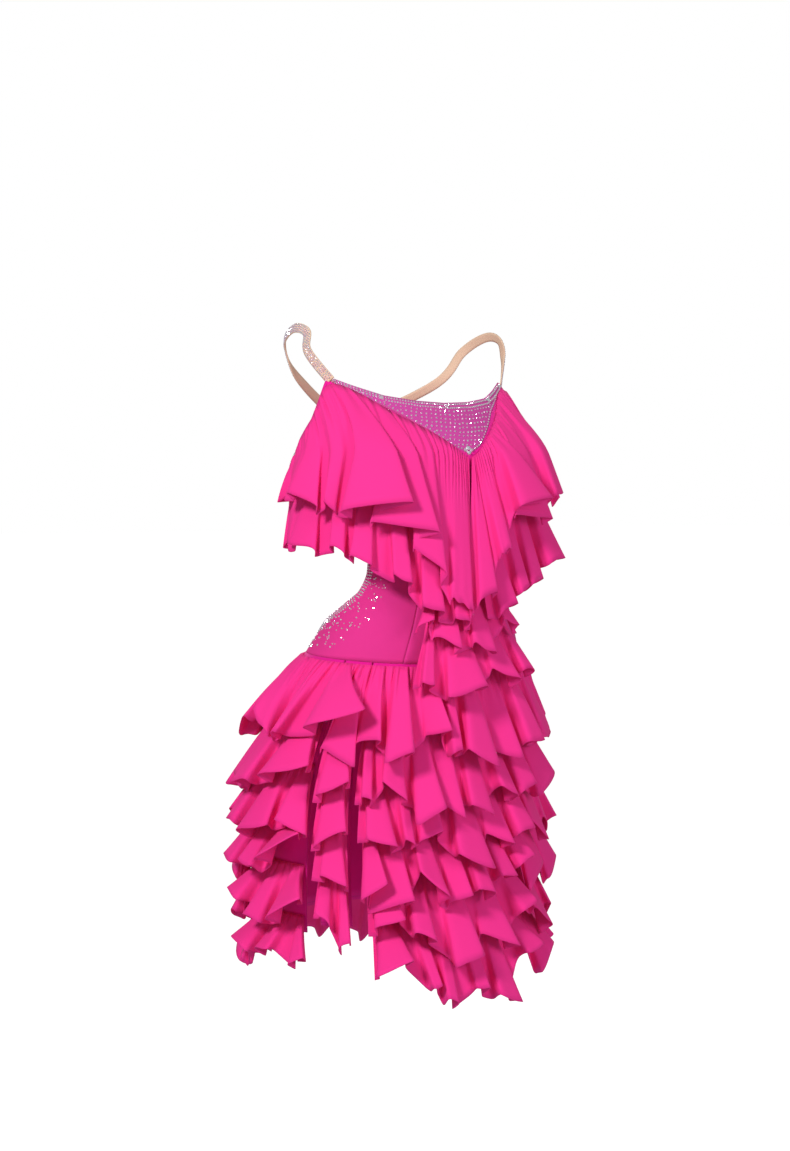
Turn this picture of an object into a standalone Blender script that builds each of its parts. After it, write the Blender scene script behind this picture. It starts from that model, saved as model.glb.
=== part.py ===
"""Rumba dance dress, a worn and hollow costume of stretch crepe.

Fitted panels follow a smooth general figure, and every flounce is a strip of cloth whose upper
edge is sewn along a seam on those panels and whose hem swings out in flutes.

Frame: +X wearer's left, -Y front, +Z up, origin midway between the tops of the two straps.
Angles run round the body in degrees from the centre front, positive to the wearer's left.
"""
import math
from collections import namedtuple

import bmesh
import bpy
import numpy as np
from mathutils import Vector

# ---------------------------------------------------------------- driving dimensions (metres)
CLOTH = 0.0015            # wall of every cloth piece
SEAM_GAP = 0.0006         # air between two pieces at a seam
SEWN_OUT = 0.0028         # a flounce's upper edge stands this far outside its panel
STRAP_WIDTH = 0.012
STRAP_THICKNESS = 0.0018
STRAP_OUT = 0.0022        # middle of a strap outside the figure
STRAP_CROSSING_LIFT = 0.006   # the left strap passes this far outside the right one
STRAP_STEPS = 4           # columns of cloth between two stations of a strap
SHOULDER_ROLL = 0.05      # a strap faces away from a point this far below its middle

YOKE_SEAM_SIDE = -0.399   # height of the skirt seam at the sides and the back
YOKE_SEAM_DIP = 0.014     # the seam is this much lower at the centre front
BODICE_HEM = -0.270
WAIST_GAP = 0.0015        # the front hip panel starts this far below the bodice
SKIRT_BASE_HEM = -0.742
STRIP_SHORTER = 0.010     # the strip between the two openings ends this much higher
ROW_COUNT = 6
ROW_PITCH = 0.0625        # from one skirt flounce's seam to the next
ROW_BELOW_YOKE = 0.003    # the first skirt flounce's seam below the yoke's seam

# Places and clearances round the body, in degrees.
INSET_SIDE = 50.0         # the ends of the neckline, where the straps are sewn
UNDERARM = 105.0          # the bodice's free ends
PRINCESS_SEAM = -31.0
SIDE_SEAM = 105.0
SLIT_RIGHT = -64.0        # the two openings over the wearer's right thigh
SLIT_LEFT = -46.5
SLIT_SPREAD = 7.0         # how far an opening's outer edge has moved away at the hem
PANEL_GAP = 0.45          # between two panels side by side
ROW_INSET = 1.5           # a skirt flounce stops this far from an opening
STRIP_INSET = 2.5         # and a flounce on the strip this far inside the openings
FLUTE_GAP = 1.0           # between the flutes of the front and those of the back

SLIT_TOP = -0.470         # the openings start to spread here
SLIT_DEPTH = 0.270        # and reach their full spread this much lower
SLIT_FLOUNCE_TOP = -0.472 # seam of the first flounce on the strip between them

PINK = (0.86, 0.02, 0.26, 1.0)
YOKE_PINK = (0.70, 0.02, 0.24, 1.0)
INSET_PINK = (0.58, 0.05, 0.33, 1.0)
NUDE = (0.72, 0.50, 0.36, 1.0)

# A section of the figure: height, half width, half depth, how far its middle is forward.
Section = namedtuple("Section", "z half_width half_depth forward")
FIGURE = (
    Section(0.000, 0.185, 0.050, 0.000),
    Section(-0.058, 0.175, 0.067, -0.002),
    Section(-0.087, 0.168, 0.088, 0.008),
    Section(-0.154, 0.160, 0.123, 0.027),
    Section(-0.200, 0.148, 0.110, 0.031),
    Section(-0.260, 0.126, 0.093, 0.045),
    Section(-0.318, 0.112, 0.080, 0.058),
    Section(-0.360, 0.130, 0.089, 0.051),
    Section(-0.415, 0.156, 0.103, 0.033),
    Section(-0.500, 0.172, 0.120, 0.011),
    Section(-0.900, 0.172, 0.120, 0.011),
)
BUST_Z = -0.154           # cloth that hangs from the bust keeps this section below it

# A place on a seam, hem or edge: angle and height. A path's rows run towards the wearer's left.
Mark = namedtuple("Mark", "angle z")
# A flute at its hem: angle, height and reach of its left corner and of its right corner.
Flute = namedtuple("Flute", "left left_z left_out right right_z right_out")
TUCKED = 0.009            # a corner this close to the valleys is tucked behind its neighbour
NECK = 0.17               # the cloth behind a flute starts this share of its width inwards
NECK_OVERLAP = 0.8        # and further in where its neighbour reaches behind it
NECK_DEPTH = 0.108        # the cloth behind a flute hangs at most this far below the seam
NECK_DROP = 0.010         # the cloth behind a flute hangs this much lower than its corners
CORNER_SHARES = (0.08, 0.34, 0.66, 0.92)   # a flute's four folds along its part of the seam
RIDGE_POWER = 1.5         # flutes open slowly near the seam and faster towards the hem
VALLEY = 0.028            # reach of the cloth between two flutes of the skirt
FLOUNCE_ROWS = 2          # rows of faces from a flounce's seam to its hem
BUST_UPPER_ROWS = 4

# The skirt flutes of the left side and the back.
BACK_FLUTES = 12          # in each row
BACK_HANG = 0.098         # their hem below the row's seam
BACK_REACH = 0.046
BACK_REACH_WANDER = 0.004
BACK_HEM_WANDER = 0.012   # half the height between a flute's two corners
BACK_CORNER = 0.08        # a corner's share of the way into its flute's width
BACK_CORNER_WANDER = 0.06
BOTTOM_RISE = 0.030       # the last row's hem is this much shorter than the pitch gives
HIP_DIP = 0.013           # the flutes reach this much less over the hips

# The two free ends of a flounce at its hem: degrees beyond the seam's ends, and reach.
Ends = namedtuple("Ends", "start end start_out end_out")


# ---------------------------------------------------------------- the general figure
def figure_section(z):
    """Half width, half depth and forward shift at a height, smooth between the sections."""
    heights = [-row.z for row in FIGURE]
    depth = min(max(-z, heights[0]), heights[-1])
    index = max(i for i in range(len(FIGURE) - 1) if heights[i] <= depth)
    span = heights[index + 1] - heights[index]
    t = (depth - heights[index]) / span
    values = []
    for column in (1, 2, 3):
        slope = np.gradient([row[column] for row in FIGURE], heights)
        low = FIGURE[index][column]
        high = FIGURE[index + 1][column]
        value = (2 * t**3 - 3 * t**2 + 1) * low + (3 * t**2 - 2 * t**3) * high
        value += (t**3 - 2 * t**2 + t) * span * slope[index]
        value += (t**3 - t**2) * span * slope[index + 1]
        values.append(value)
    return values


def figure_point(angle, z, out=0.0, hang_from=None):
    """A point at an angle and height, moved out along the section's normal."""
    section_z = z if hang_from is None else max(z, hang_from)
    half_width, half_depth, forward = figure_section(section_z)
    sine = math.sin(math.radians(angle))
    cosine = math.cos(math.radians(angle))
    normal = Vector((sine / half_width, -cosine / half_depth, 0.0)).normalized()
    point = Vector((half_width * sine, -forward - half_depth * cosine, z))
    return point + normal * out


def along(marks, share):
    """Angle and height at a share of a path, with rows evenly spaced along it."""
    place = min(max(share, 0.0), 1.0) * (len(marks) - 1)
    index = min(int(place), len(marks) - 2)
    t = place - index
    before = marks[max(index - 1, 0)]
    start = marks[index]
    end = marks[index + 1]
    after = marks[min(index + 2, len(marks) - 1)]
    result = []
    for a, b, c, d in zip(before, start, end, after):
        value = b + 0.5 * t * (c - a + t * (2 * a - 5 * b + 4 * c - d + t * (3 * (b - c) + d - a)))
        result.append(value)
    return result


def height_at(marks, angle):
    """Height of an edge at an angle, straight between its marks."""
    return float(np.interp(angle, [mark.angle for mark in marks], [mark.z for mark in marks]))


def yoke_seam(angle):
    """Height of the seam between the hip yoke and the skirt."""
    front = 0.5 + 0.5 * math.cos(math.radians(angle))
    return YOKE_SEAM_SIDE - YOKE_SEAM_DIP * front**2


def slit_opening(z):
    """How far, in degrees, a slit's outer edge has opened at a height."""
    return SLIT_SPREAD * min(max((SLIT_TOP - z) / SLIT_DEPTH, 0.0), 1.0)


# ---------------------------------------------------------------- building
def make_material(name, colour):
    material = bpy.data.materials.new(name)
    material.use_nodes = True
    shader = material.node_tree.nodes["Principled BSDF"]
    shader.inputs["Base Color"].default_value = colour
    shader.inputs["Roughness"].default_value = 0.6
    return material


def cloth_piece(name, columns, rows, place, colour, closed=False, thickness=CLOTH):
    """A grid of cloth laid out by place(column, row), then thickened about its middle."""
    mesh = bpy.data.meshes.new(name)
    sheet = bmesh.new()
    bmesh.ops.create_grid(sheet, x_segments=columns, y_segments=rows, size=0.5)
    for vertex in sheet.verts:
        column = round((vertex.co.x + 0.5) * columns)
        row = round((vertex.co.y + 0.5) * rows)
        vertex.co = place(column, row)
    if closed:
        bmesh.ops.remove_doubles(sheet, verts=sheet.verts, dist=0.00001)
    sheet.to_mesh(mesh)
    sheet.free()
    mesh.shade_smooth()
    piece = bpy.data.objects.new(name, mesh)
    dress.objects.link(piece)
    mesh.materials.append(make_material(name, colour))
    wall = piece.modifiers.new("wall", "SOLIDIFY")
    wall.thickness = thickness
    wall.offset = 0.0
    return piece


def fitted_panel(name, angles, top, bottom, columns, rows, colour, left=None, right=None):
    """A panel on the figure between two edges; left and right shift its sides by height."""
    def place(column, row):
        share = column / columns
        drop = row / rows
        angle = angles[0] + share * (angles[1] - angles[0])
        low = bottom(angle)
        high = top(angle)
        z = high + drop * (low - high)
        if left is not None:
            angle += (1 - share) * left(z)
        if right is not None:
            angle += share * right(z)
        return figure_point(angle, z)
    return cloth_piece(name, columns, rows, place, colour)


def seam_cells(seam, flutes):
    """The shares of a seam where each flute's cloth begins and ends."""
    angles = [mark.angle for mark in seam]
    shares = np.linspace(0.0, 1.0, len(seam))
    middles = [0.5 * (flute.left + flute.right) for flute in flutes]
    bounds = [0.5 * (one + two) for one, two in zip(middles, middles[1:])]
    return [0.0, *(float(np.interp(bound, angles, shares)) for bound in bounds), 1.0]


def flute_columns(seam, flutes, valley, ends, neck_depth, closed):
    """For each column of cloth: share at the seam, hem angle, hem height and reach."""
    cells = seam_cells(seam, flutes)
    columns = [(0.0, seam[0].angle + ends.start, flutes[0].left_z - NECK_DROP, ends.start_out)]
    for index, flute in enumerate(flutes):
        width = flute.right - flute.left
        before = flutes[index - 1].right if index else flute.left
        after = flutes[index + 1].left if index + 1 < len(flutes) else flute.right
        inwards_left = max(NECK * width, NECK_OVERLAP * (before - flute.left))
        inwards_right = max(NECK * width, NECK_OVERLAP * (flute.right - after))
        if flute.left_out < valley + TUCKED:
            inwards_left = 0.0
        if flute.right_out < valley + TUCKED:
            inwards_right = 0.0
        cell = cells[index + 1] - cells[index]
        lowest = along(seam, cells[index] + 0.5 * cell)[1] - neck_depth
        corners = (
            (flute.left + inwards_left, max(flute.left_z - NECK_DROP, lowest), valley),
            (flute.left, flute.left_z, flute.left_out),
            (flute.right, flute.right_z, flute.right_out),
            (flute.right - inwards_right, max(flute.right_z - NECK_DROP, lowest), valley),
        )
        for share, corner in zip(CORNER_SHARES, corners):
            columns.append((cells[index] + cell * share, *corner))
    end_z = flutes[0].left_z if closed else flutes[-1].right_z
    columns.append((1.0, seam[-1].angle + ends.end, end_z - NECK_DROP, ends.end_out))
    return columns


def flounce(name, seam, flutes, rows, valley=VALLEY, ends=Ends(-1.0, 1.0, VALLEY, VALLEY),
            neck_depth=NECK_DEPTH, closed=False, hang_from=None):
    """A flounce from its seam to its hem, in cone-like flutes that grow from the gathers."""
    columns = flute_columns(seam, flutes, valley, ends, neck_depth, closed)

    def place(column, row):
        at_seam, hem_angle, hem_z, reach = columns[column]
        fall = row / rows
        seam_angle, seam_z = along(seam, at_seam)
        angle = seam_angle + fall * (hem_angle - seam_angle)
        z = seam_z + fall * (hem_z - seam_z)
        out = SEWN_OUT + fall * valley + fall**RIDGE_POWER * (reach - valley)
        return figure_point(angle, z, out, hang_from)
    return cloth_piece(name, len(columns) - 1, rows, place, PINK, closed)


def hip_share(angle):
    """1 over the left hip and 0.8 behind the right one, falling off to both sides."""
    left_hip = math.exp(-((angle - 52.0) / 26.0) ** 2)
    right_hip = math.exp(-((angle - 238.0) / 14.0) ** 2)
    return left_hip + 0.8 * right_hip


def back_flutes(start, end, row, seed):
    """Uneven flutes of one skirt row between two angles, the same each run."""
    flutes = []
    width = (end - start) / BACK_FLUTES
    for index in range(BACK_FLUTES):
        wave = math.sin(2.4 * index + 1.7 * seed)
        other = math.sin(3.9 * index + 2.3 * seed + 1.0)
        third = math.sin(5.3 * index + 3.1 * seed + 2.0)
        left = start + width * (index + BACK_CORNER + BACK_CORNER_WANDER * wave)
        right = start + width * (index + 1.0 - BACK_CORNER + BACK_CORNER_WANDER * other)
        rise = BOTTOM_RISE * (row / (ROW_COUNT - 1)) ** 2
        hem = yoke_seam(left) - BACK_HANG - row * ROW_PITCH + rise
        reach = BACK_REACH - HIP_DIP * hip_share(left) + BACK_REACH_WANDER * wave
        flutes.append(Flute(left, hem + BACK_HEM_WANDER * third, reach * (1 + 0.1 * other),
                            right, hem - BACK_HEM_WANDER * third, reach * (1 - 0.1 * other)))
    return tuple(flutes)


# ---------------------------------------------------------------- fitted panels and straps
NECKLINE = (Mark(-50, -0.060), Mark(-40, -0.071), Mark(-28, -0.083), Mark(-14, -0.089),
            Mark(0, -0.091), Mark(14, -0.089), Mark(28, -0.083), Mark(40, -0.071),
            Mark(50, -0.060))
INSET_EDGE = (Mark(-50, -0.066), Mark(-27, -0.102), Mark(-15, -0.128), Mark(-7, -0.146),
              Mark(0, -0.155), Mark(7, -0.146), Mark(15, -0.128), Mark(27, -0.102),
              Mark(50, -0.066))
BODICE_TOP = (Mark(-105, -0.163), Mark(-92, -0.138), Mark(-76, -0.112), Mark(-62, -0.082),
              Mark(-51, -0.060)) + INSET_EDGE + (
              Mark(51, -0.060), Mark(62, -0.082), Mark(76, -0.112), Mark(92, -0.138),
              Mark(105, -0.163))
BODICE_BOTTOM = (Mark(-105, -0.215), Mark(-88, -0.245), Mark(-72, -0.267), Mark(-58, -0.270),
                 Mark(105, -0.270))
CUT_OUT = (Mark(-180, -0.383), Mark(-140, -0.376), Mark(-116, -0.364), Mark(-95, -0.344),
           Mark(-80, -0.325), Mark(-71, -0.302), Mark(-66, -0.284), Mark(-58, -0.2715),
           Mark(-31, -0.2715))
LEFT_SCOOP = (Mark(105, -0.2715), Mark(118, -0.325), Mark(140, -0.367), Mark(160, -0.379),
              Mark(180, -0.383))


def build_panels():
    """The inset, the bodice, the hip yoke and the skirt base."""
    fitted_panel("neck_inset", (-INSET_SIDE, INSET_SIDE), lambda a: height_at(NECKLINE, a),
                 lambda a: height_at(INSET_EDGE, a) + SEAM_GAP + CLOTH * 0.5,
                 14, 2, INSET_PINK)
    fitted_panel("bodice_front", (-UNDERARM, UNDERARM), lambda a: height_at(BODICE_TOP, a),
                 lambda a: height_at(BODICE_BOTTOM, a), 28, 4, PINK)
    fitted_panel("hip_side_right", (-180 + PANEL_GAP, PRINCESS_SEAM - PANEL_GAP),
                 lambda a: height_at(CUT_OUT, a), lambda a: yoke_seam(a) + SEAM_GAP,
                 17, 4, YOKE_PINK)
    fitted_panel("hip_front", (PRINCESS_SEAM, SIDE_SEAM - PANEL_GAP),
                 lambda a: BODICE_HEM - WAIST_GAP, lambda a: yoke_seam(a) + SEAM_GAP,
                 13, 4, YOKE_PINK)
    fitted_panel("hip_back_left", (SIDE_SEAM, 180),
                 lambda a: height_at(LEFT_SCOOP, a), lambda a: yoke_seam(a) + SEAM_GAP,
                 9, 4, YOKE_PINK)
    fitted_panel("skirt_front", (SLIT_LEFT, SIDE_SEAM - PANEL_GAP),
                 lambda a: yoke_seam(a) - SEAM_GAP, lambda a: SKIRT_BASE_HEM,
                 14, 4, PINK, left=slit_opening)
    fitted_panel("skirt_back", (SIDE_SEAM, 360 + SLIT_RIGHT),
                 lambda a: yoke_seam(a) - SEAM_GAP, lambda a: SKIRT_BASE_HEM,
                 16, 4, PINK, right=lambda z: -slit_opening(z))
    fitted_panel("slit_strip", (SLIT_RIGHT + 2 * PANEL_GAP, SLIT_LEFT - 2 * PANEL_GAP),
                 lambda a: yoke_seam(a) - SEAM_GAP, lambda a: SKIRT_BASE_HEM + STRIP_SHORTER,
                 4, 4, PINK)


def strap(name, side, lift):
    """A flat elastic from the neckline, over the shoulder, across the back to the far side."""
    stations = (
        (figure_point(side * INSET_SIDE, -0.0590), 0.0),
        (figure_point(side * 58.0, -0.030), 0.0),
        (Vector((side * 0.151, -0.022, -0.006)), 0.0),
        (Vector((side * 0.151, 0.006, 0.0)), 0.0),
        (Vector((side * 0.140, 0.040, -0.018)), 0.0),
        (figure_point(side * 142.0, -0.060), 0.0),
        (figure_point(180.0, -0.118), lift),
        (figure_point(side * -142.0, -0.152), 0.0),
        (figure_point(side * -(UNDERARM + 2.5), -0.172), 0.0),
    )
    count = (len(stations) - 1) * STRAP_STEPS
    middle = []
    for index in range(count + 1):
        place = index / STRAP_STEPS
        first = min(int(place), len(stations) - 2)
        t = place - first
        near = [stations[min(max(first + k, 0), len(stations) - 1)] for k in (-1, 0, 1, 2)]
        a, b, c, d = (item[0] for item in near)
        point = b + 0.5 * t * (c - a + t * (2 * a - 5 * b + 4 * c - d + t * (3 * (b - c) + d - a)))
        raised = near[1][1] + (near[2][1] - near[1][1]) * t
        outward = point - Vector((0.0, 0.0, point.z - SHOULDER_ROLL))
        middle.append((point, outward.normalized(), STRAP_OUT + raised))

    def place(column, row):
        point, outward, out = middle[column]
        following = middle[min(column + 1, count)][0]
        previous = middle[max(column - 1, 0)][0]
        direction = (following - previous).normalized()
        sideways = direction.cross(outward).normalized()
        across = (row - 0.5) * STRAP_WIDTH
        return point + outward * out + sideways * across
    return cloth_piece(name, count, 1, place, NUDE, thickness=STRAP_THICKNESS)


def build_straps():
    strap("strap_right", -1, 0.0)
    strap("strap_left", 1, STRAP_CROSSING_LIFT)


# ---------------------------------------------------------------- bust flounces and cascade
BUST_UPPER_SEAM = (Mark(-105, -0.166), Mark(-78, -0.118), Mark(-51, -0.069), Mark(-27, -0.108),
                   Mark(-12, -0.136), Mark(-5, -0.152), Mark(-1, -0.159))
BUST_LOWER_SEAM = (Mark(-104, -0.198), Mark(-78, -0.182), Mark(-52, -0.172), Mark(-28, -0.196),
                   Mark(-2, -0.246))
CASCADE_UPPER_SEAM = (Mark(-24, -0.300), Mark(-2, -0.296), Mark(22, -0.300))
CASCADE_LOWER_SEAM = (Mark(-24, -0.356), Mark(4, -0.354), Mark(32, -0.356))
BUST_DEPTH = 0.25         # deeper than any bust flounce, so that no neck is cut short
UPPER_VALLEY = 0.034      # reach of the cloth between two flutes of the bust
LOWER_VALLEY = 0.020
CASCADE_VALLEY = 0.027
CASCADE_DEPTH = 0.100     # the cloth behind its flutes hangs at most this far below the seam
RIGHT_UPPER = (
    Flute(-93.0, -0.204, 0.014, -87.5, -0.203, 0.022),
    Flute(-82.8, -0.201, 0.044, -67.5, -0.218, 0.044),
    Flute(-65.5, -0.212, 0.042, -60.8, -0.223, 0.042),
    Flute(-58.8, -0.223, 0.056, -30.0, -0.212, 0.060),
    Flute(-47.5, -0.237, 0.037, -20.5, -0.247, 0.050),
    Flute(-31.0, -0.266, 0.037, -18.5, -0.301, 0.046),
    Flute(-16.5, -0.328, 0.040, -7.8, -0.345, 0.042),
)
LEFT_UPPER = (
    Flute(-5.0, -0.333, 0.042, 3.0, -0.321, 0.044),
    Flute(4.2, -0.276, 0.046, 9.5, -0.268, 0.046),
    Flute(10.5, -0.216, 0.056, 31.0, -0.208, 0.060),
    Flute(14.0, -0.227, 0.037, 38.0, -0.235, 0.048),
    Flute(39.0, -0.206, 0.050, 50.0, -0.200, 0.050),
    Flute(54.0, -0.210, 0.044, 70.0, -0.204, 0.042),
    Flute(76.0, -0.206, 0.036, 94.0, -0.208, 0.030),
)
RIGHT_LOWER = (
    Flute(-96.0, -0.262, 0.014, -91.0, -0.264, 0.020),
    Flute(-87.5, -0.262, 0.030, -70.5, -0.271, 0.032),
    Flute(-64.5, -0.266, 0.034, -57.8, -0.272, 0.034),
    Flute(-56.2, -0.278, 0.034, -46.5, -0.287, 0.036),
    Flute(-38.8, -0.300, 0.036, -31.0, -0.311, 0.038),
    Flute(-27.5, -0.337, 0.036, -18.2, -0.347, 0.038),
    Flute(-14.0, -0.352, 0.034, -7.0, -0.360, 0.034),
)
LEFT_LOWER = (
    Flute(7.5, -0.348, 0.034, 16.8, -0.336, 0.036),
    Flute(18.4, -0.324, 0.036, 24.0, -0.316, 0.036),
    Flute(25.5, -0.315, 0.038, 35.0, -0.308, 0.038),
    Flute(37.0, -0.290, 0.044, 52.0, -0.283, 0.054),
    Flute(56.0, -0.284, 0.044, 70.0, -0.276, 0.038),
    Flute(76.0, -0.272, 0.032, 94.0, -0.264, 0.026),
)
CASCADE_UPPER = (
    Flute(-33.0, -0.361, 0.036, -25.5, -0.353, 0.038),
    Flute(-23.5, -0.375, 0.028, -10.2, -0.390, 0.042),
    Flute(-5.5, -0.384, 0.040, 6.8, -0.400, 0.044),
    Flute(13.5, -0.358, 0.036, 24.0, -0.366, 0.038),
)
CASCADE_LOWER = (
    Flute(-26.0, -0.430, 0.042, -20.5, -0.434, 0.042),
    Flute(-15.8, -0.450, 0.048, 1.8, -0.437, 0.050),
    Flute(6.5, -0.418, 0.034, 19.5, -0.434, 0.048),
    Flute(22.5, -0.420, 0.042, 31.0, -0.424, 0.042),
)


def mirrored(marks):
    """The same path on the wearer's left, still running towards the left."""
    return tuple(Mark(-mark.angle, mark.z) for mark in reversed(marks))


def build_bust_flounces():
    """Two layers on each side of the V, the upper ones over the lower."""
    left_upper_seam = mirrored(BUST_UPPER_SEAM)
    left_lower_seam = mirrored(BUST_LOWER_SEAM)
    flounce("bust_flounce_right_upper", BUST_UPPER_SEAM, RIGHT_UPPER, BUST_UPPER_ROWS,
            UPPER_VALLEY, Ends(11.0, -7.0, 0.008, UPPER_VALLEY), BUST_DEPTH, hang_from=BUST_Z)
    flounce("bust_flounce_left_upper", left_upper_seam, LEFT_UPPER, BUST_UPPER_ROWS, UPPER_VALLEY,
            Ends(-6.5, -1.0, UPPER_VALLEY, 0.010), BUST_DEPTH, hang_from=BUST_Z)
    flounce("bust_flounce_right_lower", BUST_LOWER_SEAM, RIGHT_LOWER, FLOUNCE_ROWS, LOWER_VALLEY,
            Ends(7.0, -3.0, 0.008, LOWER_VALLEY), BUST_DEPTH, hang_from=BUST_Z)
    flounce("bust_flounce_left_lower", left_lower_seam, LEFT_LOWER, FLOUNCE_ROWS, LOWER_VALLEY,
            Ends(2.0, -1.0, LOWER_VALLEY, 0.008), BUST_DEPTH, hang_from=BUST_Z)


def build_cascade():
    """Two flounces one below the other at the centre front, under the bust flounces."""
    flounce("cascade_upper", CASCADE_UPPER_SEAM, CASCADE_UPPER, FLOUNCE_ROWS, CASCADE_VALLEY,
            Ends(-9.0, 4.0, CASCADE_VALLEY, CASCADE_VALLEY), CASCADE_DEPTH)
    flounce("cascade_lower", CASCADE_LOWER_SEAM, CASCADE_LOWER, FLOUNCE_ROWS, CASCADE_VALLEY,
            Ends(-4.0, 2.0, CASCADE_VALLEY, CASCADE_VALLEY), CASCADE_DEPTH)


# ---------------------------------------------------------------- skirt flounces
TOP_ROW = (
    Flute(-97.0, -0.465, 0.050, -83.0, -0.495, 0.050),
    Flute(-81.8, -0.494, 0.050, -79.3, -0.490, 0.050),
    Flute(-67.8, -0.484, 0.064, -44.5, -0.457, 0.066),
    Flute(-61.5, -0.508, 0.031, -46.5, -0.536, 0.044),
    Flute(-47.8, -0.504, 0.031, -38.6, -0.498, 0.050),
    Flute(-37.6, -0.525, 0.060, -27.2, -0.513, 0.062),
    Flute(-21.2, -0.495, 0.031, -13.4, -0.489, 0.054),
    Flute(-12.2, -0.519, 0.048, -8.2, -0.514, 0.048),
    Flute(-7.0, -0.513, 0.052, 6.2, -0.541, 0.058),
    Flute(9.0, -0.523, 0.031, 19.0, -0.531, 0.054),
    Flute(20.5, -0.512, 0.054, 31.0, -0.510, 0.056),
)
LEFT_OF_OPENING = (
    (
        Flute(-101.0, -0.558, 0.053, -88.5, -0.552, 0.055),
        Flute(-85.0, -0.546, 0.052, -63.0, -0.530, 0.050),
    ), (
        Flute(-108.0, -0.606, 0.048, -98.0, -0.608, 0.050),
        Flute(-95.2, -0.618, 0.052, -77.5, -0.604, 0.051),
        Flute(-75.5, -0.598, 0.050, -62.0, -0.612, 0.051),
    ), (
        Flute(-110.0, -0.653, 0.050, -99.2, -0.657, 0.052),
        Flute(-94.0, -0.652, 0.050, -86.0, -0.658, 0.050),
        Flute(-83.5, -0.647, 0.056, -64.0, -0.612, 0.058),
    ), (
        Flute(-106.0, -0.693, 0.050, -95.2, -0.701, 0.053),
        Flute(-92.0, -0.719, 0.052, -82.0, -0.723, 0.052),
        Flute(-79.8, -0.718, 0.054, -64.0, -0.691, 0.058),
    ), (
        Flute(-106.5, -0.751, 0.050, -91.0, -0.762, 0.054),
        Flute(-89.0, -0.761, 0.044, -80.0, -0.755, 0.050),
        Flute(-72.5, -0.772, 0.046, -65.5, -0.764, 0.046),
    ),
)
FRONT_OF_OPENING = (
    (
        Flute(-43.8, -0.568, 0.044, -39.8, -0.573, 0.044),
        Flute(-37.0, -0.550, 0.044, -27.5, -0.572, 0.048),
        Flute(-25.5, -0.603, 0.056, -14.8, -0.583, 0.060),
        Flute(-15.5, -0.577, 0.031, -6.5, -0.598, 0.052),
        Flute(-4.5, -0.581, 0.048, 5.5, -0.601, 0.050),
        Flute(8.0, -0.562, 0.050, 16.2, -0.577, 0.052),
        Flute(18.0, -0.575, 0.050, 27.0, -0.562, 0.052),
    ), (
        Flute(-42.0, -0.616, 0.050, -30.8, -0.629, 0.054),
        Flute(-28.2, -0.622, 0.044, -24.4, -0.626, 0.044),
        Flute(-22.0, -0.622, 0.036, -13.8, -0.614, 0.041),
        Flute(-9.8, -0.641, 0.052, 4.5, -0.666, 0.058),
        Flute(5.5, -0.623, 0.031, 14.8, -0.636, 0.052),
        Flute(16.8, -0.625, 0.050, 26.0, -0.618, 0.052),
    ), (
        Flute(-44.0, -0.690, 0.052, -34.0, -0.669, 0.056),
        Flute(-40.8, -0.710, 0.031, -25.0, -0.694, 0.054),
        Flute(-23.5, -0.659, 0.050, -13.0, -0.694, 0.056),
        Flute(-11.0, -0.703, 0.036, -3.5, -0.691, 0.050),
        Flute(-1.5, -0.685, 0.048, 6.0, -0.696, 0.050),
        Flute(8.5, -0.675, 0.048, 16.5, -0.675, 0.050),
        Flute(18.0, -0.664, 0.048, 26.0, -0.654, 0.052),
    ), (
        Flute(-39.5, -0.728, 0.042, -28.0, -0.715, 0.046),
        Flute(-26.0, -0.733, 0.050, -18.0, -0.743, 0.054),
        Flute(-11.5, -0.781, 0.052, 0.0, -0.765, 0.056),
        Flute(2.5, -0.746, 0.031, 16.8, -0.763, 0.056),
        Flute(19.2, -0.724, 0.050, 27.5, -0.710, 0.052),
    ), (
        Flute(-40.0, -0.783, 0.052, -26.2, -0.766, 0.056),
        Flute(-18.8, -0.803, 0.044, -15.4, -0.801, 0.044),
        Flute(-14.0, -0.818, 0.046, -9.4, -0.824, 0.046),
        Flute(-1.0, -0.809, 0.040, 4.0, -0.812, 0.046),
        Flute(8.0, -0.821, 0.048, 19.0, -0.837, 0.052),
        Flute(21.5, -0.776, 0.050, 33.0, -0.770, 0.052),
    ),
)
SLIT_FLUTES = (
    (Flute(-60.5, -0.566, 0.046, -48.0, -0.549, 0.048),),
    (Flute(-60.5, -0.627, 0.046, -48.0, -0.607, 0.048),),
    (Flute(-58.5, -0.664, 0.042, -48.0, -0.674, 0.048),),
    (Flute(-60.5, -0.707, 0.044, -55.0, -0.722, 0.044),
     Flute(-52.5, -0.752, 0.046, -47.8, -0.742, 0.048)),
)
TOP_ROW_START = -118.0


def row_seam(row, start, end, marks=25):
    """The seam of a skirt row."""
    path = []
    for index in range(marks):
        angle = start + (end - start) * index / (marks - 1)
        path.append(Mark(angle, yoke_seam(angle) - ROW_BELOW_YOKE - row * ROW_PITCH))
    return tuple(path)


def turned(flutes):
    """The same flutes, counted on past a whole turn."""
    return tuple(flute._replace(left=flute.left + 360, right=flute.right + 360)
                 for flute in flutes)


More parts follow.
